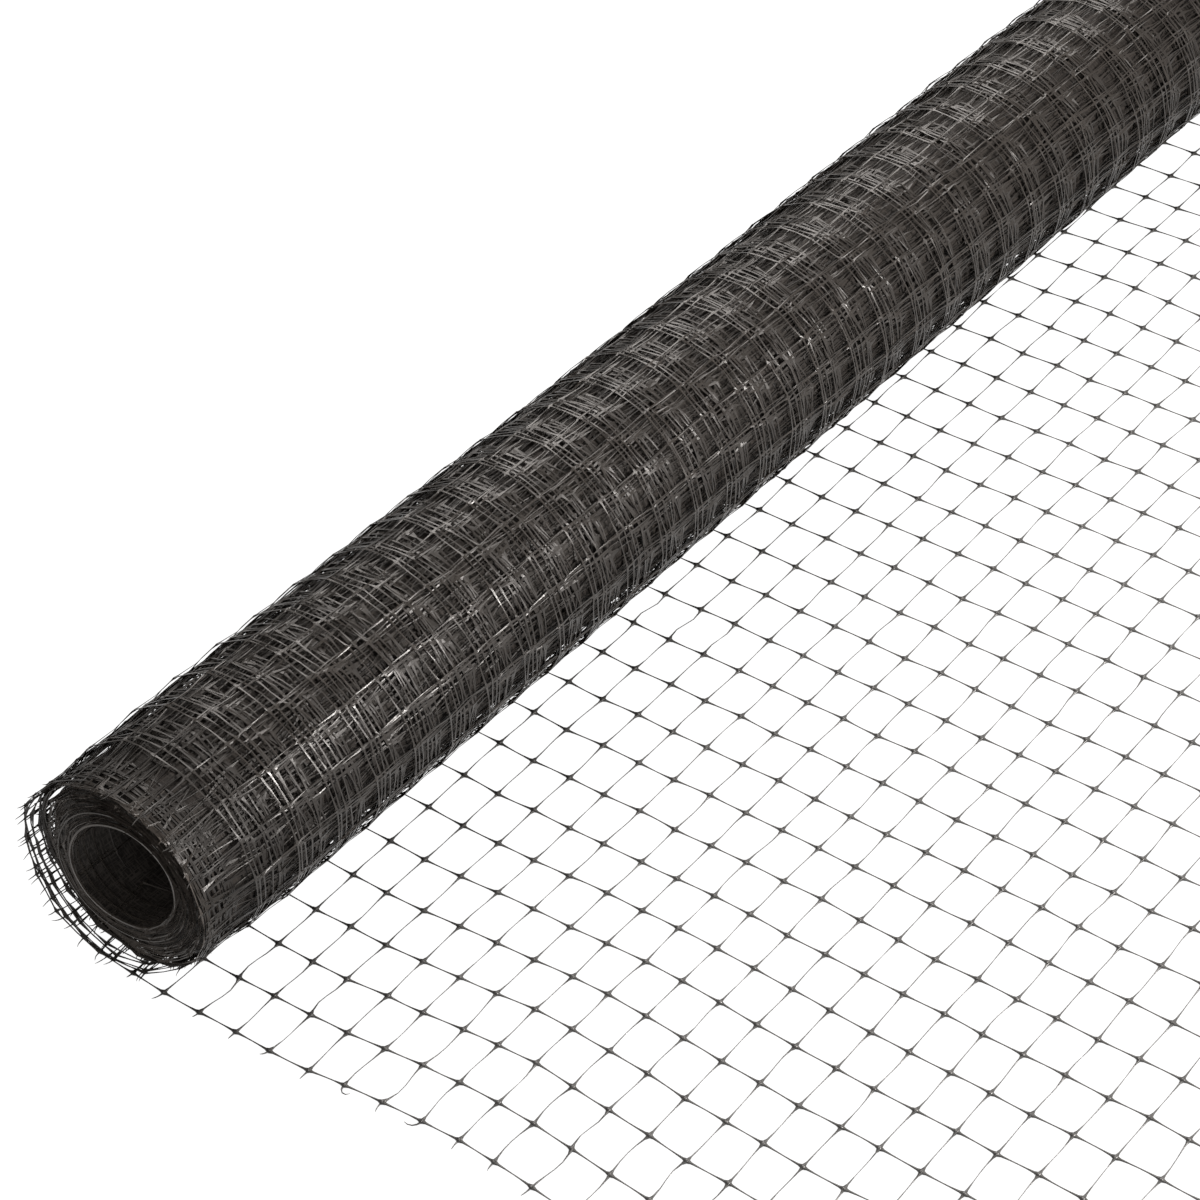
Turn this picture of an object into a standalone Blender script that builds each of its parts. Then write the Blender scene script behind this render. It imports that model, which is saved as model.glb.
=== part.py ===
# Bird netting roll: a hollow roll of black extruded plastic net with its loose end laid out flat.
#
# Metres, +Z up. +X is the way the net is paid out and +Y runs along the roll, away from the end that is
# seen first. The origin is the middle of the roll's flat resting strip, on the surface it lies on.
#
# Two solids:
#   wound_roll  the wound net as one hollow spiral body, ridged at every row of knots
#   loose_end   the flat net, cut through at twice the real mesh, with its cut stubs

import math

import bmesh
import bpy
from mathutils import Vector

# The net
MESH_ALONG_ROLL = 0.01905  # one mesh along the roll, three quarters of an inch
MESH_ALONG_NET = 0.0151  # one mesh along the length of the net
ROWS = 48  # meshes across the net, which makes it three feet wide
LOOSE_COLUMNS = 22  # meshes of loose net past the column that starts just clear of the roll
MESHES_PER_GAP = 2  # each cut gap stands for two by two meshes
NET_WIDTH = ROWS * MESH_ALONG_ROLL

# The roll
OUTER_RADIUS = 0.0381
BORE_RADIUS = 0.0209
TURN_STEP = 0.0013  # how far the surface drops in over one turn
RIDGE_HEIGHT = 0.0008  # the knots of a row stand this far above the net between two rows
SIDES = 24
OUT_OF_ROUND = 0.0004

# The ends of the roll, from the outside in: how far through the wound wall a ring of the end face lies,
# and how far along +Y its turns sit from the outermost turn at the near end. The outer turns stand
# clear of the rest there as a cuff. At the far end the turns are drawn the other way, and by less.
END_RINGS = (
    {"depth": 0.10, "along": 0.0010},
    {"depth": 0.16, "along": 0.0080},
    {"depth": 1.00, "along": 0.0055},
)
FAR_END_SHARE = -0.3

# The loose end
SHEET_THICKNESS = 0.0010
ROW_BAR = 0.0013  # width of the bars along the net
COLUMN_BAR = 0.0011  # width of the bars along the roll
KNOT_CHAMFER = 0.0019  # corners of the gaps are cut off by this much, which leaves the knots
STUB_LENGTH = 0.0050
STUB_LEAN = 0.0010
FIRST_COLUMN = 0.0329  # the first clear column of knots, from the roll's axis, at the near edge
SKEW = math.radians(1.28)  # the net runs off the roll slightly askew
TOUCH_GAP = 0.0003

# Places where the net is pulled out of square: the knot at the middle, how many columns and rows the
# pull reaches, and how far it moves that knot along X and Y.
PULLS = (
    {"column": 7.0, "row": 1.0, "columns": 3.0, "rows": 5.0, "dx": -0.0030, "dy": 0.0050},
    {"column": 0.0, "row": 2.5, "columns": 3.0, "rows": 4.5, "dx": 0.0004, "dy": -0.0020},
    {"column": 2.5, "row": 12.0, "columns": 4.0, "rows": 5.0, "dx": 0.0014, "dy": 0.0},
    {"column": 9.0, "row": 19.5, "columns": 3.0, "rows": 4.0, "dx": -0.0022, "dy": 0.0},
    {"column": 3.0, "row": 27.0, "columns": 2.0, "rows": 2.5, "dx": -0.0018, "dy": 0.0028},
)

HALF_SIDE_ANGLE = math.pi / SIDES
AXIS_HEIGHT = OUTER_RADIUS * math.cos(HALF_SIDE_ANGLE)
STEP_X = OUTER_RADIUS * math.sin(HALF_SIDE_ANGLE)
SHEET_START = STEP_X + TOUCH_GAP


def clear_scene():
    for obj in list(bpy.data.objects):
        bpy.data.objects.remove(obj, do_unlink=True)


def make_material(name, colour, roughness):
    material = bpy.data.materials.new(name)
    material.use_nodes = True
    shader = material.node_tree.nodes["Principled BSDF"]
    shader.inputs["Base Color"].default_value = (*colour, 1.0)
    shader.inputs["Roughness"].default_value = roughness
    shader.inputs["Metallic"].default_value = 0.0
    return material


def add_object(name, mesh, material, collection):
    mesh.materials.clear()
    mesh.materials.append(material)
    obj = bpy.data.objects.new(name, mesh)
    collection.objects.link(obj)
    return obj


def section_angle(side):
    """Angle of a corner of the section: it starts right of the resting strip and runs clockwise."""
    return -math.pi / 2 + HALF_SIDE_ANGLE - 2 * math.pi * side / SIDES


def outer_radius(side, half_row):
    """Radius of the wound surface. The two corners of the resting strip keep the full radius."""
    if side <= 1:
        return OUTER_RADIUS
    drop = TURN_STEP * side / SIDES
    in_valley = half_row % 2 == 1
    valley = RIDGE_HEIGHT if in_valley else 0.0
    if side == SIDES:
        return OUTER_RADIUS - drop - valley
    slack = OUT_OF_ROUND * math.sin(math.pi * side / SIDES) * math.sin(3.1 * side + 0.37 * half_row)
    return OUTER_RADIUS - drop - valley + slack


def bore_radius(side):
    return BORE_RADIUS + TURN_STEP * (1 - side / SIDES)


def section_point(side, radius, y):
    angle = section_angle(side)
    return Vector((radius * math.cos(angle), y, AXIS_HEIGHT + radius * math.sin(angle)))


def end_rings(shape, half_row, end_y, share):
    """Rings of the end face, from just inside the outermost turn to the mouth of the bore."""
    rings = []
    for end_ring in END_RINGS:
        y = end_y + share * end_ring["along"]
        ring = []
        for side in range(SIDES + 1):
            outer = outer_radius(side, half_row)
            radius = outer + (bore_radius(side) - outer) * end_ring["depth"]
            ring.append(shape.verts.new(section_point(side, radius, y)))
        rings.append(ring)
    return rings


def build_wound_roll(material, collection):
    """A loft along the roll: a section at each row of knots and one halfway to the next."""
    mesh = bpy.data.meshes.new("wound_roll")
    shape = bmesh.new()
    corners = range(SIDES + 1)

    outer_rings = []
    for half_row in range(2 * ROWS + 1):
        y = -NET_WIDTH / 2 + half_row * MESH_ALONG_ROLL / 2
        ring = [shape.verts.new(section_point(s, outer_radius(s, half_row), y)) for s in corners]
        outer_rings.append(ring)

    # The rings in order, out along the outside and back through the bore, close into one skin.
    far_end = end_rings(shape, 2 * ROWS, NET_WIDTH / 2, FAR_END_SHARE)
    near_end = end_rings(shape, 0, -NET_WIDTH / 2, 1.0)
    rings = outer_rings + far_end + near_end[::-1]
    for ring, next_ring in zip(rings, rings[1:] + rings[:1]):
        for side in corners:
            following = (side + 1) % (SIDES + 1)
            shape.faces.new((ring[side], ring[following], next_ring[following], next_ring[side]))

    bmesh.ops.recalc_face_normals(shape, faces=shape.faces)
    shape.to_mesh(mesh)
    shape.free()
    mesh.shade_smooth()
    mesh.set_sharp_from_angle(angle=math.radians(35))
    return add_object("wound_roll", mesh, material, collection)


def pulled(column, row):
    """How far the pulls move the net at a column and row, which need not be whole numbers."""
    dx = 0.0
    dy = 0.0
    for pull in PULLS:
        across = (column - pull["column"]) / pull["columns"]
        along = (row - pull["row"]) / pull["rows"]
        share = math.exp(-across * across - along * along)
        dx += pull["dx"] * share
        dy += pull["dy"] * share
    return dx, dy


def net_point(column, row):
    """Place of a knot of the loose net. Column 0 is the first one clear of the roll."""
    from_axis = FIRST_COLUMN + column * MESH_ALONG_NET
    from_edge = row * MESH_ALONG_ROLL
    dx, dy = pulled(column, row)
    x = from_axis - SKEW * from_edge + dx
    y = from_edge - NET_WIDTH / 2 + SKEW * from_axis + dy
    return Vector((max(x, SHEET_START), y, 0.0))


def gap_corners(column, row):
    """Eight corners of one gap, as shares of the way across and along it."""
    low = net_point(column, row)
    high = net_point(column + MESHES_PER_GAP, row + MESHES_PER_GAP)
    width = high.x - low.x
    length = high.y - low.y
    left_bar = COLUMN_BAR if column < 0 else COLUMN_BAR / 2
    left = left_bar / width
    right = 1 - COLUMN_BAR / 2 / width
    near = ROW_BAR / 2 / length
    far = 1 - near
    across = KNOT_CHAMFER / width
    along = KNOT_CHAMFER / length
    shares = (
        (left + across, near),
        (right - across, near),
        (right, near + along),
        (right, far - along),
        (right - across, far),
        (left + across, far),
        (left, far - along),
        (left, near + along),
    )
    corners = (
        low,
        net_point(column + MESHES_PER_GAP, row),
        high,
        net_point(column, row + MESHES_PER_GAP),
    )
    return [between(corners, s, t) for s, t in shares]


def between(corners, s, t):
    near = corners[0].lerp(corners[1], s)
    far = corners[3].lerp(corners[2], s)
    return near.lerp(far, t)


def stub(knot, outward, number):
    """Three points of a cut stub: it leaves the edge bar, comes to a tip and returns to the bar."""
    along = Vector((-outward.y, outward.x, 0.0))
    foot = knot + outward * ROW_BAR / 2
    tip = knot + outward * STUB_LENGTH + along * STUB_LEAN * math.sin(2.4 * number)
    return [foot - along * COLUMN_BAR / 2, tip, foot + along * COLUMN_BAR / 2]


def sheet_outline():
    """The edge of the loose end, anticlockwise from its near corner beside the roll."""
    half_bar = ROW_BAR / 2
    columns = range(0, LOOSE_COLUMNS, MESHES_PER_GAP)
    rows = range(0, ROWS + 1, MESHES_PER_GAP)
    near, far, free = Vector((0, -1, 0)), Vector((0, 1, 0)), Vector((1, 0, 0))

    points = [net_point(-MESHES_PER_GAP, 0) + near * half_bar]
    for column in columns:
        points += stub(net_point(column, 0), near, column)
    points += stub(net_point(LOOSE_COLUMNS, 0), near, LOOSE_COLUMNS)
    for row in rows:
        corner_shared = row in (0, ROWS)
        points += stub(net_point(LOOSE_COLUMNS, row), free, row)[1 if corner_shared else 0 :]
    points += stub(net_point(LOOSE_COLUMNS, ROWS), far, LOOSE_COLUMNS)[1:]
    for column in reversed(columns):
        points += stub(net_point(column, ROWS), far, column)
    points.append(net_point(-MESHES_PER_GAP, ROWS) + far * half_bar)
    return points


def add_spline(curve, points):
    spline = curve.splines.new("POLY")
    spline.points.add(len(points) - 1)
    for spline_point, point in zip(spline.points, points):
        spline_point.co = (point.x, point.y, 0.0, 1.0)
    spline.use_cyclic_u = True


def build_loose_end(material, collection):
    """A flat outline filled on both sides, with a hole for each gap, made a closed mesh."""
    curve = bpy.data.curves.new("loose_end_outline", "CURVE")
    curve.dimensions = "2D"
    curve.fill_mode = "BOTH"
    curve.extrude = SHEET_THICKNESS / 2
    add_spline(curve, sheet_outline())
    for column in range(-MESHES_PER_GAP, LOOSE_COLUMNS, MESHES_PER_GAP):
        for row in range(0, ROWS, MESHES_PER_GAP):
            add_spline(curve, gap_corners(column, row))

    outline = bpy.data.objects.new("loose_end_outline", curve)
    outline.location.z = SHEET_THICKNESS / 2
    collection.objects.link(outline)
    bpy.context.view_layer.update()

    evaluated = outline.evaluated_get(bpy.context.evaluated_depsgraph_get())
    mesh = bpy.data.meshes.new_from_object(evaluated)
    shape = bmesh.new()
    shape.from_mesh(mesh)
    bmesh.ops.remove_doubles(shape, verts=shape.verts, dist=0.00001)
    bmesh.ops.recalc_face_normals(shape, faces=shape.faces)
    shape.to_mesh(mesh)
    shape.free()

    sheet = add_object("loose_end", mesh, material, collection)
    sheet.matrix_world = outline.matrix_world
    bpy.data.objects.remove(outline)
    return sheet


def main():
    clear_scene()
    collection = bpy.data.collections.new("bird_netting_roll")
    bpy.context.scene.collection.children.link(collection)
    wound = make_material("wound_net_black", (0.017, 0.015, 0.013), 0.45)
    loose = make_material("loose_net_black", (0.020, 0.018, 0.016), 0.40)
    build_wound_roll(wound, collection)
    build_loose_end(loose, collection)


main()
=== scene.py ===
import math

import bpy
import numpy as np
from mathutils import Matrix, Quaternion, Vector


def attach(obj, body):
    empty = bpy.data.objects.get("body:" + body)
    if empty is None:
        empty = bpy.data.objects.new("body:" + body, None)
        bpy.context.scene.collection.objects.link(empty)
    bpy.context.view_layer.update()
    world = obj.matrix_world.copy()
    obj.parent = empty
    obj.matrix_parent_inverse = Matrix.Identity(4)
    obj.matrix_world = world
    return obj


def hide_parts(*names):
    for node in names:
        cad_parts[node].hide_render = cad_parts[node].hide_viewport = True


# A roll of black bird netting with its loose end paid out on the floor.
# One net is laid knot by knot: flat on the floor past the roll, and wound up behind that in a spiral.

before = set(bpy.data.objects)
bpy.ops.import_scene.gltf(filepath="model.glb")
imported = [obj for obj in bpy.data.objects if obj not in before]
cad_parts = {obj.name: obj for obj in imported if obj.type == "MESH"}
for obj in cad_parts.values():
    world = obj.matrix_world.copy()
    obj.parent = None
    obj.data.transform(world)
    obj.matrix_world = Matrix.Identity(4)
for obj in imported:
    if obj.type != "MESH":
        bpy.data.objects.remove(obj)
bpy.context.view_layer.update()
bpy.ops.object.select_all(action="DESELECT")
rng = np.random.default_rng(21)
print("frame loaded")

# Camera, standing where the photograph was taken from
cameraView = {
    "target": (0.0105, -0.2250, 0.0),  # where the middle of the picture meets the floor
    "azimuth": 41.71,
    "elevation": 40.75,
    "distance": 1.3418,
    "roll": -4.23,
    "lens": 111.8,
}


def addCamera(settings):
    a, e = math.radians(settings["azimuth"]), math.radians(settings["elevation"])
    back = Vector((math.sin(a) * math.cos(e), -math.cos(a) * math.cos(e), math.sin(e)))
    bpy.ops.object.camera_add(location=Vector(settings["target"]) + back * settings["distance"])
    camera = bpy.context.object
    camera.rotation_mode = "QUATERNION"
    turn = Quaternion((0, 0, 1), math.radians(settings["roll"]))
    camera.rotation_quaternion = (-back).to_track_quat("-Z", "Y") @ turn
    camera.data.lens = settings["lens"]
    camera.data.sensor_width = 36
    camera.data.clip_start = 0.05
    bpy.context.scene.camera = camera


addCamera(cameraView)
print("camera in place")

# The net, and how it is wound
net = {
    "meshAlongRoll": 0.01905,
    "meshAlongNet": 0.0151,
    "rows": 48,
    "lastColumn": 22,
    "firstColumn": 0.0329,  # column 0, from the roll's axis at the near edge
    "skew": 0.0223,  # slant of the paid out columns
    "knotHalf": 0.00045,
}
wound = {
    "outerRadius": 0.0379,
    "openPitch": 0.00016,  # from one outer turn to the next
    "openTurns": 19,  # outer turns that are modelled strand by strand
    "boreRadius": 0.0204,
    "turns": 41,
    "slackColumns": 6,  # the first columns up the back lie at the net's full mesh
    "slackStep": math.radians(23.25),
    "columnStep": math.radians(21.24),
    "slant": 0.0135,  # slant of the columns on the roll
    "chordSag": 0.00025,  # a strand round the roll runs a little flatter than an arc
    "nearSag": 0.0003,  # how deep the net sinks between two rows at the near end
    "farSag": 0.0005,
    "topShift": 0.0082,  # how far all turns are set back over the top and the right side
    "boreTiltX": 0.0033,  # the innermost turns are pushed in more on the right and at the top
    "boreTiltZ": 0.0016,
}
netWidth = net["rows"] * net["meshAlongRoll"]
rollHeight = wound["outerRadius"] + net["knotHalf"]
setBack = {  # how far each turn is set back from the near end: turns, and mm there
    "left": (
        (0, 0.5, 1, 3.5, 4, 5.5, 6, 7.5, 8, 12, 19, 41),
        (0, 0, 0.1, 0.2, 2.8, 2.9, 5.1, 5.2, 6.8, 6.4, 5.9, 5.5),
    ),
    "top": (
        (0, 0.6, 1.6, 2.6, 3.6, 4.6, 5.6, 6.6, 7.6, 9, 19, 41),
        (0, 0, 2.3, 4.7, 7.0, 9.4, 11.7, 14.0, 16.0, 13, 0, -2.7),
    ),
    "topEdge": (
        (0, 0.6, 1.6, 2.6, 3.6, 4.6, 5.6, 6.6, 7.6, 8.6, 9.6, 10.6, 12, 13, 14, 19, 41),
        (0, 0, 2.3, 4.7, 7.0, 9.4, 11.7, 1.0, 13.5, 3.5, 8.2, 0.5, 10.5, 5.8, -1.0, -1.9, -2.7),
    ),
    "shiftByRow": ((0, 34, 48), (1, 1, 0.1)),  # how much of it is left along the roll
    "spreadByRow": ((0, 30, 48), (1, 0.67, -0.3)),  # the turns gather towards the far end
    "apartMm": (0.0, 3.8, -3.8, 7.4),  # at the near rim the columns of four turns lie apart
    "apartReach": 0.05,
}
uneven = {  # how the wound net departs from an even spiral
    "wander": (0.004, 0.003),  # of the columns' slant
    "shuffle": 0.0010,  # of whole columns round the roll
    "waver": (0.0005, 0.0006),  # of the rows
    "jumbleByTurn": ((1, 3, 8, 14), (0.00028, 0.00060, 0.0012, 0.0018)),  # random shifts of the knots
    "jumbleByRow": ((0, 1, 3), (1.6, 1.6, 1)),
    "edgeJumble": 0.00018,
    "rise": 0.00013,  # random height of the knots
    "lumps": (0.00030, 0.00022),
    "slack": (0.0011, 0.0003),  # the outermost turn isn't pulled tight
    "slackSag": 0.0006,
    "flare": 0.0030,  # the outer turns stand off at the bottom left of the near rim
    "flareAngle": (0.7, 0.5),  # where and how wide, in radians from the bottom up the left
    "flareReach": 0.020,
    "flareByTurn": ((3.5, 4, 5.5, 6, 7.5, 8, 12), (1, 0.75, 0.75, 0.4, 0.4, 0.15, 0)),
    "bunching": 0.9,  # the near edges lie together in three bunches
    "bunchByTurn": ((0, 3.5, 4, 5.5, 6, 7.5, 8), (0, 3.5, 0, 1.5, 0, 1.5, 0)),
    "shoulder": 0.0030,  # the outer turns draw in over the top of the near end
    "shoulderReach": 0.016,
    "shapedTurns": 20,  # turns that the flare, the bulges and the shoulder reach
}
bulges = (  # angle round the roll, reach, size, and its share by distance from the near end
    (2.25, 0.80, 0.0012, (0, 0.15, 0.26, 0.38, 0.55), (1.1, 1.0, 0.3, -0.2, -0.5)),
    (5.35, 0.85, 0.0013, (0, 0.15, 0.28, 0.40, 0.60), (1.2, 1.0, 0.8, 1.1, 1.4)),
)
shading = {  # painted shade: strands are darker the deeper they lie, and the innermost turn lining the bore has painted light
    "byTurn": ((0, 1, 2, 4, 8, 14, 19, 39.5, 41), (0.92, 0.86, 0.82, 0.75, 0.58, 0.38, 0.24, 0.24, 1.0)),
    "onFloor": ((-2, 2, 8), (0.3, 0.6, 1.0)),  # by column: painted shade on the paid out net, darkest beside the roll
    "paintedAtEdges": ((0, 1.5, 8, 41), (0.8, 0.5, 0.9, 0.9)),  # by turn: painted light on the deep turns' cut edges in the shaded end faces, painted shade on the outer turns' edges
    "topEdgeTurns": 12,
    "paintedTopEdgeShade": ((0, 1, 2), (0.65, 0.35, 0)),  # by row: painted shade over the top, close to the near end
}
pulls = (  # column, row, columns reached, rows reached, shift along X and Y
    (7.0, 1.0, 3.0, 5.0, -0.0030, 0.0050),
    (0.0, 2.5, 3.0, 4.5, 0.0004, -0.0020),
    (2.5, 12.0, 4.0, 5.0, 0.0014, 0.0),
    (9.0, 19.5, 3.0, 4.0, -0.0022, 0.0),
    (3.0, 27.0, 2.0, 2.5, -0.0018, 0.0028),
)


def radiusAt(theta):
    openRadius = wound["outerRadius"] - wound["openTurns"] * wound["openPitch"]
    radii = (wound["outerRadius"], openRadius, wound["boreRadius"])
    return np.interp(theta / (2 * math.pi), (0, wound["openTurns"], wound["turns"]), radii)


def layNet(wind, along, out):
    # wind: how far round the roll, as an arc at its outer radius, and negative on the floor
    # out: how far the net stands off its own even spiral
    theta = np.maximum(wind, 0) / wound["outerRadius"]
    radius = radiusAt(theta) + out
    x = np.where(wind > 0, -radius * np.sin(theta), -wind)
    z = np.where(wind > 0, rollHeight - radius * np.cos(theta), net["knotHalf"] - out)
    return np.stack([x, along, np.maximum(z, 0.00022)], -1)


def outwardAt(wind):
    theta = np.maximum(wind, 0) / wound["outerRadius"]
    return np.stack([-np.sin(theta), np.zeros_like(theta), -np.cos(theta)], -1)


# Columns are counted from the first clear one on the floor, and those from -3 down are wound up
windings = [(3 * net["meshAlongNet"] - net["firstColumn"]) / wound["outerRadius"]]
while windings[-1] < wound["turns"] * 2 * math.pi:
    step = wound["columnStep"]
    if windings[-1] > 20 * math.pi:
        step = max(step, 0.93 * net["meshAlongNet"] / float(radiusAt(windings[-1])))
    windings.append(windings[-1] + (wound["slackStep"] if len(windings) <= wound["slackColumns"] else step))
windings = np.array(windings)
columns = np.arange(-2 - len(windings), net["lastColumn"] + 1)
rows = np.arange(net["rows"] + 1)
column, row = np.meshgrid(columns, rows, indexing="ij")
fromAxis = net["firstColumn"] + column * net["meshAlongNet"]
fromEdge = row * net["meshAlongRoll"]
onFloor = column >= -2

# Where every knot lies: how far round, where along the roll, and how far off the even spiral
woundOn = np.clip((-2 - column) / 8, 0, 1)
turnOf = np.zeros(len(columns))
turnOf[: len(windings)] = windings[::-1] / (2 * math.pi)
turnOf = np.broadcast_to(turnOf[:, None], column.shape)
pastFirst = np.clip(turnOf - 0.8, 0, 1)
longWander, shortWander = uneven["wander"]
wander = (longWander * np.sin(2.6 * turnOf + 0.6) + shortWander * np.sin(6.1 * turnOf)) * pastFirst
slant = net["skew"] + (wound["slant"] - net["skew"]) * woundOn + wander
shuffle = uneven["shuffle"] * np.sin(2 * math.pi * turnOf / 2.3 + 2.0) * pastFirst
knotWind = np.where(onFloor, -fromAxis, turnOf * 2 * math.pi * wound["outerRadius"] + shuffle)
knotWind = knotWind + slant * fromEdge
turns = np.maximum(knotWind, 0) / (2 * math.pi * wound["outerRadius"])
onLeft = np.clip((turns % 1.0) / 0.05, 0, 1) * np.clip((0.5 - turns % 1.0) / 0.10, 0, 1)
atRim = onLeft * np.exp(-((fromEdge / setBack["apartReach"]) ** 2))
apart = 0.001 * np.array(setBack["apartMm"])[turns.astype(int) % 4]
knotWind = knotWind + apart * atRim * (turns < wound["openTurns"])
turns = np.maximum(knotWind, 0) / (2 * math.pi * wound["outerRadius"])
partTurn = turns % 1.0

overTop = np.clip((partTurn - 0.30) / 0.13, 0, 1) * np.clip((1.02 - partTurn) / 0.16, 0, 1)
overTop = overTop * overTop * (3 - 2 * overTop)  # 0 on the left, 1 over the top and down the right
topShift = wound["topShift"] * np.interp(row, *setBack["shiftByRow"])
spread = np.interp(row, *setBack["spreadByRow"])
leftDrift = np.interp(turns, *setBack["left"]) * 0.001
topDrift = np.interp(turns, *setBack["top"]) * 0.001
topDrift = np.where(row == 0, np.interp(turns, *setBack["topEdge"]) * 0.001, topDrift)
drift = leftDrift * (1 - overTop) * spread + overTop * (topShift + topDrift * spread)
tilt = wound["boreTiltX"] * np.sin(turns * 2 * math.pi) + wound["boreTiltZ"] * np.cos(turns * 2 * math.pi)
innerShare = np.clip((turns - wound["openTurns"]) / (wound["turns"] - wound["openTurns"]), 0, 1)
drift = drift - tilt * innerShare * spread
firstWaver, secondWaver = uneven["waver"]
waver = firstWaver * np.sin(0.83 * column + 0.31 * row) + secondWaver * np.sin(5.3 * turns + 1.0)
knotAlong = fromEdge - netWidth / 2 + net["skew"] * np.maximum(fromAxis, 0) + drift + woundOn * waver

for pullColumn, pullRow, reachColumns, reachRows, shiftX, shiftY in pulls:
    share = np.exp(-(((column - pullColumn) / reachColumns) ** 2) - ((row - pullRow) / reachRows) ** 2)
    knotWind = knotWind - np.where(onFloor, shiftX * share, 0)
    knotAlong = knotAlong + np.where(onFloor, shiftY * share, 0)

jumble = np.interp(turns, *uneven["jumbleByTurn"])
knotWind = knotWind + rng.normal(0, 1, column.shape) * jumble * np.interp(row, *uneven["jumbleByRow"])
knotAlong = knotAlong + rng.normal(0, 1, column.shape) * np.where(row == 0, uneven["edgeJumble"], jumble)

theta = turns * 2 * math.pi
around = theta % (2 * math.pi)
longLump, shortLump = uneven["lumps"]
lumps = longLump * np.sin(2 * theta + 9 * fromEdge) + shortLump * np.sin(3 * theta - 14 * fromEdge + 1.1)
looseTurn = np.clip(1.15 - turns, 0, 1) * np.clip(turns * 6, 0, 1)
lift = np.exp(-(((theta - 2.0) / 0.75) ** 2)) * np.clip(fromEdge / 0.06, 0.35, 1)
slackLift, slackRipple = uneven["slack"]
slack = looseTurn * (slackLift * lift + slackRipple * np.sin(1.7 * theta + 11 * fromEdge - 2.0))
flareAngle, flareWidth = uneven["flareAngle"]
flare = ((around - flareAngle) / flareWidth) ** 2
flare = uneven["flare"] * np.exp(-flare - (fromEdge / uneven["flareReach"]) ** 2)
flare = flare * np.interp(turns, *uneven["flareByTurn"])
bunched = uneven["bunching"] * wound["openPitch"] * np.interp(turns, *uneven["bunchByTurn"])
bunched = bunched * (row == 0) * (1 - overTop)
shoulder = uneven["shoulder"] * overTop * np.exp(-((fromEdge / uneven["shoulderReach"]) ** 2))
shoulder = shoulder * np.clip(1 - turns / uneven["shapedTurns"], 0, 1)
shape = lumps + slack + flare + bunched
for bulgeAngle, bulgeReach, bulgeSize, bulgeAlong, bulgeShares in bulges:
    bulge = bulgeSize * np.exp(-(((around - bulgeAngle) / bulgeReach) ** 2))
    shape = shape + bulge * np.interp(fromEdge, bulgeAlong, bulgeShares)
shape = np.where(turns < uneven["shapedTurns"], shape - shoulder, lumps)
knotOut = np.where(onFloor, -0.0001, shape)
knotOut = knotOut + np.where(onFloor, 0, rng.normal(0, uneven["rise"], column.shape))
sagDepth = wound["nearSag"] + (wound["farSag"] - wound["nearSag"]) * np.clip(row / 30, 0, 1)
sagDepth = sagDepth + uneven["slackSag"] * looseTurn * lift
# every knot's painted light and shade, carried into the strandShade attribute: by depth, on the paid out
# net, at the cut edges and over the top of the near end
knotShade = np.interp(turns, *shading["byTurn"])
knotShade = np.where(onFloor, np.interp(column, *shading["onFloor"]), knotShade)
atEdge = ((row == 0) | (row == net["rows"])) & ~onFloor
knotShade = np.where(atEdge, np.interp(turns, *shading["paintedAtEdges"]), knotShade)
# painted shade on the outer turns' strands over the top, close to the near end
topEdge = overTop * (turns < shading["topEdgeTurns"]) * ~onFloor
knotShade = knotShade * (1 - topEdge * np.interp(row, *shading["paintedTopEdgeShade"]))
print("net laid out:", len(windings), "wound columns")


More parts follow.
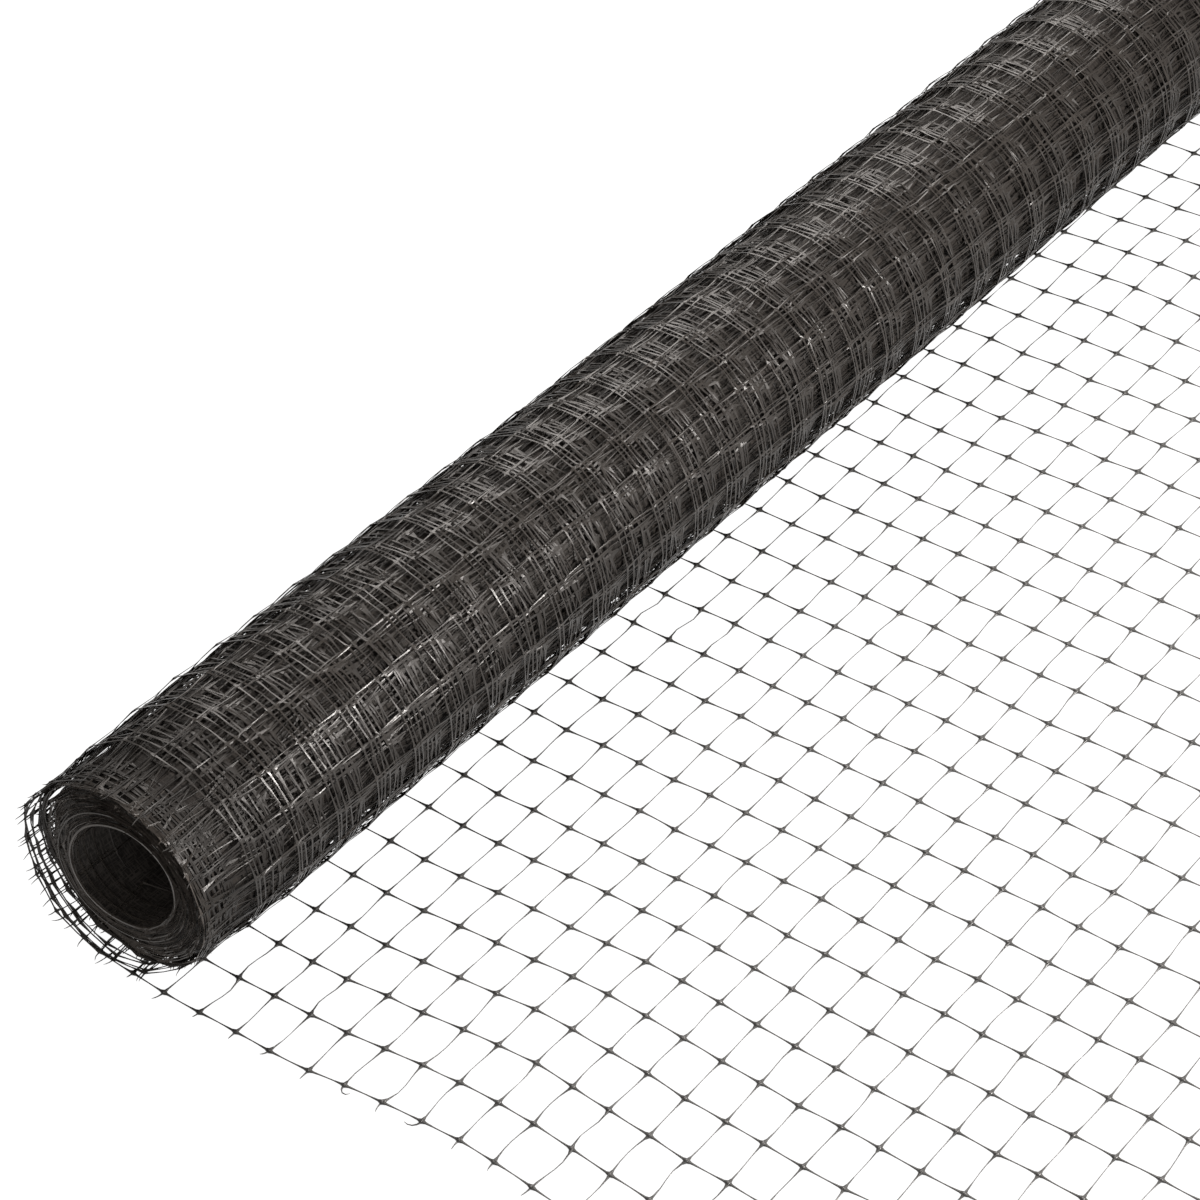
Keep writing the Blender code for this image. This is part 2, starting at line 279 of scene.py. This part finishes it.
class StrandPile:
    # collects strands as arrays and turns them into one mesh

    def __init__(self):
        self.points, self.faces, self.shades, self.count = [], [], [], 0

    def addStrands(self, path, outward, halfWidth, halfDepth, sides, shade, twist=0.25):
        # path is strands x points x 3, and a ring of corners is put round every point
        strands, steps = path.shape[:2]
        tangent = np.gradient(path, axis=1)
        across = np.cross(tangent, outward)
        across /= np.maximum(np.linalg.norm(across, axis=-1, keepdims=True), 1e-9)
        lean = rng.normal(0, twist, (strands, steps))[..., None]
        outward = outward + across * lean
        outward /= np.linalg.norm(outward, axis=-1, keepdims=True)
        across = across - outward * np.sum(across * outward, -1, keepdims=True)
        angle = math.pi / 2 - math.pi / sides + 2 * math.pi * np.arange(sides) / sides
        swell = 1 / math.sin(math.pi / sides)
        wide = across[:, :, None, :] * (swell * np.cos(angle)[:, None])
        deep = outward[:, :, None, :] * (swell * np.sin(angle)[:, None])
        halfWidth = np.broadcast_to(halfWidth, (strands, steps))[..., None, None]
        halfDepth = np.broadcast_to(halfDepth, (strands, steps))[..., None, None]
        ring = path[:, :, None, :] + wide * halfWidth + deep * halfDepth
        start = (np.arange(strands)[:, None, None] * steps + np.arange(steps - 1)[None, :, None]) * sides
        side = np.arange(sides)[None, None, :]
        here, following = start + side, start + (side + 1) % sides
        quads = np.stack([here, here + sides, following + sides, following], -1)
        firstRing = np.arange(strands)[:, None] * steps * sides
        corners = np.arange(sides)[None, :]
        self.faces.append(quads.reshape(-1, 4) + self.count)
        self.faces.append(firstRing + corners + self.count)
        self.faces.append(firstRing + (steps - 1) * sides + corners[:, ::-1] + self.count)
        self.points.append(ring.reshape(-1, 3))
        shade = np.broadcast_to(shade, (strands, steps)) * rng.uniform(0.75, 1.15, (strands, steps))
        self.shades.append(np.repeat(shade.ravel(), sides))
        self.count += strands * steps * sides

    def build(self, name, material, rounded=False):
        mesh = bpy.data.meshes.new(name)
        points = np.concatenate(self.points)
        corners = np.concatenate([f.ravel() for f in self.faces])
        sizes = np.concatenate([np.full(len(f), f.shape[1]) for f in self.faces])
        mesh.vertices.add(len(points))
        mesh.vertices.foreach_set("co", points.astype(np.float32).ravel())
        mesh.loops.add(len(corners))
        mesh.loops.foreach_set("vertex_index", corners.astype(np.int32))
        mesh.polygons.add(len(sizes))
        mesh.polygons.foreach_set("loop_start", (np.cumsum(sizes) - sizes).astype(np.int32))
        mesh.polygons.foreach_set("use_smooth", np.full(len(sizes), rounded))
        mesh.update(calc_edges=True)
        shade = mesh.attributes.new("strandShade", "FLOAT", "POINT")
        shade.data.foreach_set("value", np.concatenate(self.shades).astype(np.float32))
        mesh.materials.append(material)
        piece = bpy.data.objects.new(name, mesh)
        bpy.context.collection.objects.link(piece)
        print(name, "made:", int(np.sum(sizes - 2)), "triangles")
        return piece


strand = {
    "rowKnot": 0.00066,  # half widths of a strand along the net: in the knot, beside it, halfway
    "rowNeck": 0.00027,
    "rowMid": 0.00022,
    "columnKnot": 0.00060,  # and of a thinner strand along the roll
    "columnNeck": 0.00020,
    "columnMid": 0.00016,
    "flatness": 0.55,  # thickness as a share of the width
}
boreStrand = {
    "rowKnot": 0.0006,
    "rowNeck": 0.00020,
    "rowMid": 0.00016,
    "columnKnot": 0.0005,
    "columnNeck": 0.00014,
    "columnMid": 0.00010,
    "flatness": 0.55,
}
looseStrand = {
    "rowKnot": 0.00084,
    "rowNeck": 0.00025,
    "rowMid": 0.00018,
    "columnKnot": 0.00078,
    "columnNeck": 0.00018,
    "columnMid": 0.00013,
    "flatness": 0.55,
}
# Where a strand gets its points, from one knot to the next
woundSamples = np.array([0.0, 0.10, 0.5, 0.90])
deepSamples = np.array([0.0, 0.30, 0.70])
flatSamples = np.array([0.0, 0.04, 0.11, 0.30, 0.5, 0.70, 0.89, 0.96])


def strandWidths(samples, knotWidth, neckWidth, midWidth):
    nearKnot = np.minimum(samples, 1 - samples)
    besideKnot = 0.25 * knotWidth + 0.75 * neckWidth
    widths = (knotWidth, 0.8 * knotWidth, besideKnot, neckWidth, midWidth)
    return np.interp(nearKnot, (0, 0.035, 0.09, 0.17, 0.5), widths)


def pickColumns(first, last):
    return slice(first - columns[0], last - columns[0] + 1)


def sampleStrands(knots, samples):
    # from strands x knots to strands x points along them
    points = knots[:, :-1, None] * (1 - samples) + knots[:, 1:, None] * samples
    return np.concatenate([points.reshape(len(knots), -1), knots[:, -1:]], 1)


def overSpans(pattern, spans, end=0.0):
    return np.append(np.tile(pattern, spans), end)


def bowEach(size, strands, spans, samples):
    # one random bow for every span of every strand
    each = rng.normal(0, 1, (strands, spans)) * size
    return np.append(np.repeat(each, len(samples), 1), np.zeros((strands, 1)), 1)


def strandsAlongNet(pile, first, last, firstRow, lastRow, samples, bow, sides, size=strand):
    picked = pickColumns(first, last)
    every = (knotWind, knotAlong, knotOut, knotShade)
    fields = (field[picked, firstRow : lastRow + 1].T for field in every)
    wind, along, out, shade = (sampleStrands(f, samples) for f in fields)
    spans = last - first
    arch = overSpans(np.sin(math.pi * samples), spans)
    along = along + bowEach(bow, len(wind), spans, samples) * arch
    out = out - np.where(wind > 0, wound["chordSag"], 0) * arch**2
    width = strandWidths(samples, size["rowKnot"], size["rowNeck"], size["rowMid"])
    halfWidth = overSpans(width, spans, size["rowKnot"])
    halfDepth = halfWidth * size["flatness"]
    pile.addStrands(layNet(wind, along, out), outwardAt(wind), halfWidth, halfDepth, sides, shade, 0.14)


kinks = ((0, 12, 0.0008), (1, 12, 0.0010), (2, 12, 0.0005))  # column, row and size of a kink in a strand


def strandsAlongRoll(pile, first, last, firstRow, lastRow, samples, bow, sides, size=strand):
    picked = pickColumns(first, last)
    every = (knotWind, knotAlong, knotOut, sagDepth, knotShade)
    fields = (field[picked, firstRow : lastRow + 1] for field in every)
    wind, along, out, sag, shade = (sampleStrands(f, samples) for f in fields)
    spans = lastRow - firstRow
    arch = overSpans(np.sin(math.pi * samples), spans)
    curve = overSpans(np.sin(2 * math.pi * samples), spans)
    bows = bow * np.where((np.arange(firstRow, lastRow) < 2) & (last > 0), 3.2, 1.0)
    # near the paid out end's cut edge the strands are slacker, and so bow more
    wind = wind + bowEach(bows, len(wind), spans, samples) * arch
    wind = wind + bowEach(0.5 * bows, len(wind), spans, samples) * curve
    for kinkColumn, kinkRow, kinkSize in kinks:
        if first <= kinkColumn <= last:
            start = (kinkRow - firstRow) * len(samples)
            bend = np.sin(2 * math.pi * samples)
            wind[kinkColumn - first, start : start + len(samples)] += kinkSize * bend
    out = out - np.where(wind > 0, sag, 0) * arch**2
    width = strandWidths(samples, size["columnKnot"], size["columnNeck"], size["columnMid"])
    halfWidth = overSpans(width, spans, size["columnKnot"])
    halfDepth = halfWidth * size["flatness"]
    pile.addStrands(layNet(wind, along, out), outwardAt(wind), halfWidth, halfDepth, sides, shade, 0.35)


stubs = {
    "length": 0.0050,
    "shares": (0.6, 1.1),  # shortest and longest
    "byTurn": ((1, 4, 8, 12), (1, 0.8, 0.7, 0.35)),
    "steps": (0.0, 0.12, 0.32, 0.55, 0.78, 1.0),
    "halfWidths": (0.00062, 0.00030, 0.00022, 0.00018, 0.00014, 0.00006),
    "bend": 0.45,
    "lift": (0.0002, 0.0006),  # how far the tips stand off: mean and spread
    "hooks": {4: 2.6, 6: -1.9},  # cut ends on the floor that curl up, by column
    "hookLength": 0.0065,
}


def cutStubs(pile, first, last, edges, sides):
    # the short ends left where the net was cut across its strands
    picked = pickColumns(first, last)
    steps, halfWidth = np.array(stubs["steps"]), np.array(stubs["halfWidths"])
    count = last - first + 1
    for edgeRow in edges:
        way = -1 if edgeRow == 0 else 1
        bend = rng.normal(0, stubs["bend"], count)
        lift = np.abs(rng.normal(*stubs["lift"], count))[:, None] * steps**2
        length = stubs["length"] * rng.uniform(*stubs["shares"], count)
        length = length * np.interp(turns[picked, edgeRow], *stubs["byTurn"])
        for hookColumn, turnBack in stubs["hooks"].items():
            if edgeRow == 0 and first <= hookColumn <= last:
                bend[hookColumn - first], length[hookColumn - first] = turnBack, stubs["hookLength"]
        heading = bend[:, None] * steps**1.3
        pieces = np.diff(steps) * length[:, None]
        middle = (heading[:, 1:] + heading[:, :-1]) / 2
        zero = np.zeros((count, 1))
        sideways = np.concatenate([zero, np.cumsum(pieces * np.sin(middle), 1)], 1)
        forwards = np.concatenate([zero, np.cumsum(pieces * np.cos(middle), 1)], 1)
        wind = knotWind[picked, edgeRow][:, None] - sideways
        along = knotAlong[picked, edgeRow][:, None] + way * forwards
        out = knotOut[picked, edgeRow][:, None] + np.where(wind > 0, lift, -lift)
        shade = knotShade[picked, edgeRow][:, None]
        pile.addStrands(layNet(wind, along, out), outwardAt(wind), halfWidth, halfWidth * 0.8, sides, shade)


def groupOf(name, inputs, outputs):
    group = bpy.data.node_groups.new(name, "ShaderNodeTree")
    for direction, sockets in (("INPUT", inputs), ("OUTPUT", outputs)):
        for label, kind, value in sockets:
            socket = group.interface.new_socket(label, in_out=direction, socket_type=kind)
            if value is not None:
                socket.default_value = value
    return group, group.nodes.new("NodeGroupInput"), group.nodes.new("NodeGroupOutput")


def addNode(tree, kind, settings=None, **inputs):
    # an input is a number or a colour, or another node's output
    node = tree.nodes.new(kind)
    for label, value in (settings or {}).items():
        setattr(node, label, value)
    for label, value in inputs.items():
        place = int(label[1:]) if label[0] == "_" else label.replace("_", " ")
        if isinstance(value, bpy.types.NodeSocket):
            tree.links.new(value, node.inputs[place])
        else:
            node.inputs[place].default_value = value
    return node


def combine(tree, operation, first, second):
    return addNode(tree, "ShaderNodeMath", {"operation": operation}, _0=first, _1=second).outputs[0]


def remap(tree, value, given, wanted):
    limits = {"From_Min": given[0], "From_Max": given[1], "To_Min": wanted[0], "To_Max": wanted[1]}
    return addNode(tree, "ShaderNodeMapRange", Value=value, **limits).outputs[0]


def drawnPlastic():
    # plastic drawn out into strands: cloudy, slightly uneven, and with the painted shade of the strandShade
    # attribute, darker where the net lies deep
    group, given, result = groupOf(
        "drawnPlastic",
        (
            ("Shade", "NodeSocketFloat", 1.0),
            ("Light", "NodeSocketColor", (0.030, 0.0262, 0.0230, 1)),
            ("Dark", "NodeSocketColor", (0.009, 0.0079, 0.0070, 1)),
            ("Roughness", "NodeSocketFloat", 0.28),
        ),
        (
            ("Color", "NodeSocketColor", None),
            ("Roughness", "NodeSocketFloat", None),
            ("Normal", "NodeSocketVector", None),
        ),
    )
    place = addNode(group, "ShaderNodeTexCoord").outputs["Object"]
    cloud = addNode(group, "ShaderNodeTexNoise", Vector=place, Scale=90.0, Detail=3.0).outputs["Fac"]
    grain = addNode(group, "ShaderNodeTexNoise", Vector=place, Scale=1400.0, Detail=2.0).outputs["Fac"]
    shade = combine(group, "MULTIPLY", given.outputs["Shade"], remap(group, cloud, (0.3, 0.7), (0.8, 1.15)))
    mix = addNode(
        group, "ShaderNodeMix", {"data_type": "RGBA"},
        _0=shade, _6=given.outputs["Dark"], _7=given.outputs["Light"],
    )
    scatter = remap(group, grain, (0.3, 0.7), (-0.06, 0.10))
    dullness = remap(group, shade, (0.0, 0.8), (0.30, 0.0))  # of the deeper strands
    rough = combine(group, "ADD", combine(group, "ADD", given.outputs["Roughness"], scatter), dullness)
    bump = addNode(group, "ShaderNodeBump", Strength=0.25, Distance=0.00008, Height=grain)
    group.links.new(mix.outputs[2], result.inputs["Color"])
    group.links.new(rough, result.inputs["Roughness"])
    group.links.new(bump.outputs[0], result.inputs["Normal"])
    return group


drawnGroup = drawnPlastic()


def plasticMaterial(name, shadeOf, gloss, **values):
    material = bpy.data.materials.new(name)
    material.use_nodes = True
    tree = material.node_tree
    shader = tree.nodes["Principled BSDF"]
    plastic = addNode(tree, "ShaderNodeGroup", {"node_tree": drawnGroup}, Shade=shadeOf(tree), **values)
    tree.links.new(plastic.outputs["Color"], shader.inputs["Base Color"])
    tree.links.new(plastic.outputs["Roughness"], shader.inputs["Roughness"])
    shader.inputs["Specular IOR Level"].default_value = gloss
    tree.links.new(plastic.outputs["Normal"], shader.inputs["Normal"])
    return material


def strandShade(tree):
    return addNode(tree, "ShaderNodeAttribute", {"attribute_name": "strandShade"}).outputs["Fac"]


packedLook = {
    "radius": 0.0355,
    "strokeScales": ((150.0, 1500.0), (1600.0, 120.0)),  # round the roll and along it
    "strokeEdges": (0.5, 0.6),  # noise below is dark, and above is a stroke
    "darkest": 0.10,
    "paintedBrightest": (0.65, 0.42),  # on the end faces and on the outer side: painted light makes the dim end faces and bore brighter
    "outerFrom": (0.0336, 0.0346),  # radii between which the outer side takes over
}


def packedShade(tree):
    # strokes along and across the roll, as of many strands lying on each other, with painted light on the
    # end faces and bore
    place = addNode(tree, "ShaderNodeTexCoord").outputs["Object"]
    x, y, z = addNode(tree, "ShaderNodeSeparateXYZ", Vector=place).outputs
    height = combine(tree, "SUBTRACT", z, rollHeight)
    arc = combine(tree, "MULTIPLY", combine(tree, "ARCTAN2", x, height), packedLook["radius"])
    strokes = []
    for aroundScale, alongScale in packedLook["strokeScales"]:
        u, v = combine(tree, "MULTIPLY", arc, aroundScale), combine(tree, "MULTIPLY", y, alongScale)
        spot = addNode(tree, "ShaderNodeCombineXYZ", X=u, Y=v, Z=0.0).outputs[0]
        noise = addNode(tree, "ShaderNodeTexNoise", Vector=spot, Scale=1.0, Detail=2.0, Roughness=0.6)
        strokes.append(remap(tree, noise.outputs["Fac"], packedLook["strokeEdges"], (0.0, 1.0)))
    stroke = combine(tree, "MAXIMUM", *strokes)
    flat = addNode(tree, "ShaderNodeCombineXYZ", X=x, Y=height, Z=0.0).outputs[0]
    radius = addNode(tree, "ShaderNodeVectorMath", {"operation": "LENGTH"}, _0=flat).outputs["Value"]
    paintedBrightest = remap(tree, radius, packedLook["outerFrom"], packedLook["paintedBrightest"])
    limits = {"To_Min": packedLook["darkest"], "To_Max": paintedBrightest}
    return addNode(tree, "ShaderNodeMapRange", Value=stroke, **limits).outputs[0]


# painted sheen: the paid out net on the white floor gets a lighter, greyer copy of the same black plastic
loosePaintedSheenPlastic = plasticMaterial("loosePaintedSheenPlastic", strandShade, 0.34, Light=(0.071, 0.071, 0.070, 1))
# painted light: a lighter copy of the plastic for the inner turns' edges and the bore lining, which get
# little light
innerPaintedLightPlastic = plasticMaterial("innerPaintedLightPlastic", strandShade, 0.24, Light=(0.070, 0.061, 0.054, 1))
# painted light: the packed turns get a lighter copy of the plastic, as they show in the dim end faces and
# bore
packedPlastic = plasticMaterial(
    "packedPlastic", packedShade, 0.14, Roughness=0.42, Light=(0.060, 0.052, 0.046, 1)
)


def columnAfter(turn):
    return -3 - int(np.searchsorted(windings, turn * 2 * math.pi))


def asPartOf(piece, node):
    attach(piece, "root")
    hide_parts(node)


# Outer turns, strand by strand
outerTurns = {
    "turns": ((0, 4), (4, 9), (9, 14), (14, 19)),  # first and last turn of each piece
    "gloss": (0.34, 0.27, 0.20, 0.15),
    "bowAlongNet": 0.00025,
    "bowAlongRoll": 0.00045,
}
for number, (firstTurn, lastTurn) in enumerate(outerTurns["turns"]):
    first, last = columnAfter(lastTurn), columnAfter(firstTurn)
    samples = deepSamples if number else woundSamples
    lastAlongRoll = last - 1 if number else last
    pile = StrandPile()
    strandsAlongNet(pile, first, last, 0, net["rows"], samples, outerTurns["bowAlongNet"], 3)
    strandsAlongRoll(pile, first, lastAlongRoll, 0, net["rows"], samples, outerTurns["bowAlongRoll"], 3)
    cutStubs(pile, first, last - 1, (0, net["rows"]), 3)
    plastic = plasticMaterial(f"netPlastic{number + 1}", strandShade, outerTurns["gloss"][number])
    asPartOf(pile.build(f"outerTurns{number + 1}", plastic), "wound_roll")

# Inner turns, whose edges fill the two end faces
endTurns = {
    "bow": 0.00025,
    "depths": (0.0, 0.0016, 0.0070, 0.0140),  # how far the strands along the roll are followed inwards
    "halfWidths": (0.00070, 0.00024, 0.00018, 0.00016),
    "stray": 0.0006,
    "sink": 0.0003,
}


def innerEdges(name, edgeRow, firstTurn):
    first, last = columns[0], columnAfter(firstTurn)
    pile = StrandPile()
    strandsAlongNet(pile, first, last, edgeRow, edgeRow, woundSamples, endTurns["bow"], 3)
    picked = pickColumns(first, last)
    way = 1 if edgeRow == 0 else -1
    depth, halfWidth = np.array(endTurns["depths"]), np.array(endTurns["halfWidths"])
    stray = rng.normal(0, endTurns["stray"], (last - first + 1, 1)) * depth / depth[-1]
    wind = knotWind[picked, edgeRow][:, None] + stray
    along = knotAlong[picked, edgeRow][:, None] + way * depth
    out = knotOut[picked, edgeRow][:, None] - endTurns["sink"] * depth / depth[-1]
    shade = knotShade[picked, edgeRow][:, None]
    halfDepth = halfWidth * strand["flatness"]
    pile.addStrands(layNet(wind, along, out), outwardAt(wind), halfWidth, halfDepth, 3, shade)
    cutStubs(pile, first, last, (edgeRow,), 3)
    return pile.build(name, innerPaintedLightPlastic)


asPartOf(innerEdges("nearEndTurns", 0, wound["openTurns"]), "wound_roll")
asPartOf(innerEdges("farEndTurns", net["rows"], wound["openTurns"]), "wound_roll")

# The innermost turn, which shows inside the bore
boreLining = {
    "turns": 1.3,
    "rows": ((0, 14), (34, 48)),  # as far in as the eye reaches from either end
    "bowAlongNet": 0.0006,
    "bowAlongRoll": 0.0009,
    "rings": (  # rings of strand that show at its mouth: radius, depth, half width, shade; the inner rings have painted shade, darker the deeper they lie in the bore
        (0.0203, 0.0050, 0.00034, 1.0),
        (0.0252, 0.0046, 0.00020, 0.6),
        (0.0206, 0.0085, 0.00020, 0.8),
        (0.0206, 0.0115, 0.00016, 0.7),
        (0.0206, 0.0160, 0.00016, 0.6),
    ),
    "ragged": (0.00012, 0.00008),
    "corners": 61,
}
pile = StrandPile()
last = columnAfter(wound["turns"] - boreLining["turns"])
netBow, rollBow = boreLining["bowAlongNet"], boreLining["bowAlongRoll"]
for firstRow, lastRow in boreLining["rows"]:
    strandsAlongNet(pile, columns[0], last, firstRow + 1, lastRow - 1, woundSamples, netBow, 3, boreStrand)
    strandsAlongRoll(pile, columns[0], last, firstRow, lastRow, woundSamples, rollBow, 3, boreStrand)
turned = np.linspace(0, 2 * math.pi, boreLining["corners"])
sine, cosine = np.sin(turned), np.cos(turned)
wideRagged, fineRagged = boreLining["ragged"]
ragged = wideRagged * np.sin(3 * turned + 1) + fineRagged * np.sin(7 * turned)
for radius, depth, halfWidth, shade in boreLining["rings"]:
    depth = depth + wound["boreTiltX"] * sine + wound["boreTiltZ"] * cosine
    across, up = (radius + ragged) * sine, (radius + ragged) * cosine
    path = np.stack([across, depth - netWidth / 2, rollHeight + up], -1)[None]
    outward = np.stack([sine, np.zeros_like(sine), cosine], -1)[None]
    pile.addStrands(path, outward, halfWidth, halfWidth, 4, shade, 0.0)
asPartOf(pile.build("innermostTurn", innerPaintedLightPlastic), "wound_roll")

# The paid out end
paidOut = {"bowAlongNet": 0.00012, "bowAlongRoll": 0.00022}
pile = StrandPile()
last, netBow, rollBow = net["lastColumn"], paidOut["bowAlongNet"], paidOut["bowAlongRoll"]
strandsAlongNet(pile, -3, last, 0, net["rows"], flatSamples, netBow, 4, looseStrand)
strandsAlongRoll(pile, -2, last, 0, net["rows"], flatSamples, rollBow, 4, looseStrand)
cutStubs(pile, -2, net["lastColumn"], (0, net["rows"]), 4)
asPartOf(pile.build("looseNet", loosePaintedSheenPlastic, True), "loose_end")

# The dense turns under the open ones
core = {
    "corners": 96,
    "inner": 0.0209,
    "outer": 0.0347,
    "profileMm": (  # the end faces: radius, and depth from the end
        (20.9, 6.4),
        (22.5, 6.0),
        (25.0, 6.6),
        (28.0, 6.4),
        (30.0, 6.9),
        (32.0, 7.4),
        (33.4, 8.2),
        (34.3, 9.6),
    ),
    "outerInset": 0.016,  # how far from the ends the outer and the inner side begin
    "innerInset": 0.0066,
    "lengthSteps": 60,
    "innerSteps": 12,
    "tiltRadii": (0.034, 0.0205),  # the near face tilts with the bore, from none to all between these
    "tiltFrom": -0.43,  # and only this near to the end, along Y
    "lumpSize": 0.012,
    "unevenness": 0.0007,
}


def addCore(settings, material):
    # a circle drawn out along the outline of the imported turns, and closed on itself
    half = netWidth / 2
    outline = [(r / 1000, depth / 1000 - half) for r, depth in settings["profileMm"]]
    for k in range(settings["lengthSteps"] + 1):
        share = 2 * k / settings["lengthSteps"] - 1
        outline.append((settings["outer"], share * (half - settings["outerInset"])))
    outline += [(r / 1000, half - depth / 1000) for r, depth in reversed(settings["profileMm"])]
    for k in range(1, settings["innerSteps"]):
        share = 1 - 2 * k / settings["innerSteps"]
        outline.append((settings["inner"], (half - settings["innerInset"]) * share))
    outline.append(outline[0])
    bpy.ops.object.select_all(action="DESELECT")
    bpy.ops.mesh.primitive_circle_add(
        vertices=settings["corners"],
        radius=outline[0][0],
        location=(0, outline[0][1], rollHeight),
        rotation=(math.pi / 2, 0, 0),
    )
    piece = bpy.context.object
    bpy.ops.object.transform_apply(location=True, rotation=True, scale=True)
    bpy.ops.object.mode_set(mode="EDIT")
    bpy.ops.mesh.select_all(action="SELECT")
    for (radius, y), (nextRadius, nextY) in zip(outline, outline[1:]):
        growth = nextRadius / radius
        bpy.ops.mesh.extrude_region_move(TRANSFORM_OT_translate={"value": (0, nextY - y, 0)})
        bpy.ops.transform.resize(value=(growth, 1, growth))
    bpy.ops.mesh.select_all(action="SELECT")
    bpy.ops.mesh.remove_doubles(threshold=0.00002)
    bpy.ops.mesh.normals_make_consistent(inside=False)
    bpy.ops.object.mode_set(mode="OBJECT")
    tiltOuter, tiltInner = settings["tiltRadii"]
    for point in piece.data.vertices:
        x, y, z = point.co.x, point.co.y, point.co.z - rollHeight
        inwards = min(max((tiltOuter - math.hypot(x, z)) / (tiltOuter - tiltInner), 0), 1)
        share = inwards * min(max((settings["tiltFrom"] - y) / 0.01, 0), 1)
        point.co.y += share * (wound["boreTiltX"] * x + wound["boreTiltZ"] * z) / tiltInner
    clouds = bpy.data.textures.new("packedLumps", "CLOUDS")
    clouds.noise_scale = settings["lumpSize"]
    lumps = piece.modifiers.new("lumps", "DISPLACE")
    lumps.texture = clouds
    lumps.texture_coords = "LOCAL"
    lumps.strength = settings["unevenness"]
    lumps.mid_level = 0.5
    bpy.ops.object.modifier_apply(modifier=lumps.name)
    bpy.ops.object.shade_smooth()
    piece.name = "packedTurns"
    piece.data.materials.append(material)
    print("packedTurns made:", 2 * len(piece.data.polygons), "triangles")
    return piece


asPartOf(addCore(core, packedPlastic), "wound_roll")

# Studio
studio = {
    "floorColour": (0.06, 0.06, 0.06),
    "floorGlow": 1.0,
    "worldStrength": 0.42,
    "warmth": (1.0, 0.95, 0.91),
    "middle": (0.0, -0.15, 0.05),
    "overheadWay": (-0.40, 0.60, 0.69),
    "overheadDistance": 1.8,
    "overheadSize": (1.3, 1.0),
    "overheadPower": 36,
    "rightPlace": (0.80, 0.06, 0.51),
    "rightAim": (0, -0.35, 0.06),
    "rightSize": (0.20, 0.20),
    "rightPower": 14,
}


def addAreaLight(name, place, aim, size, power):
    bpy.ops.object.light_add(type="AREA", location=place)
    light = bpy.context.object
    light.name = name
    light.data.shape = "RECTANGLE"
    light.data.size, light.data.size_y = size
    light.data.energy = power
    light.data.color = studio["warmth"]
    light.rotation_mode = "QUATERNION"
    light.rotation_quaternion = (Vector(aim) - Vector(place)).to_track_quat("-Z", "Y")


def addStudio(settings):
    bpy.ops.mesh.primitive_plane_add(size=12, location=(0, 0, -0.0002))
    floor = bpy.context.object
    floor.name = "floor"
    paint = bpy.data.materials.new("floorPaint")
    paint.use_nodes = True
    shader = paint.node_tree.nodes["Principled BSDF"]
    shader.inputs["Base Color"].default_value = (*settings["floorColour"], 1)
    shader.inputs["Roughness"].default_value = 0.9
    shader.inputs["Emission Color"].default_value = (1, 1, 1, 1)
    shader.inputs["Emission Strength"].default_value = settings["floorGlow"]
    floor.data.materials.append(paint)
    world = bpy.data.worlds.new("studio")
    world.use_nodes = True
    world.node_tree.nodes["Background"].inputs["Color"].default_value = (*settings["warmth"], 1)
    world.node_tree.nodes["Background"].inputs["Strength"].default_value = settings["worldStrength"]
    bpy.context.scene.world = world
    middle = Vector(settings["middle"])
    overhead = middle + settings["overheadDistance"] * Vector(settings["overheadWay"])
    addAreaLight("overheadSoftbox", overhead, middle, settings["overheadSize"], settings["overheadPower"])
    right, aim = settings["rightPlace"], settings["rightAim"]
    addAreaLight("rightSoftbox", right, aim, settings["rightSize"], settings["rightPower"])
    bpy.context.scene.view_settings.view_transform = "Standard"


addStudio(studio)
print("studio lit")

bpy.ops.object.select_all(action="DESELECT")
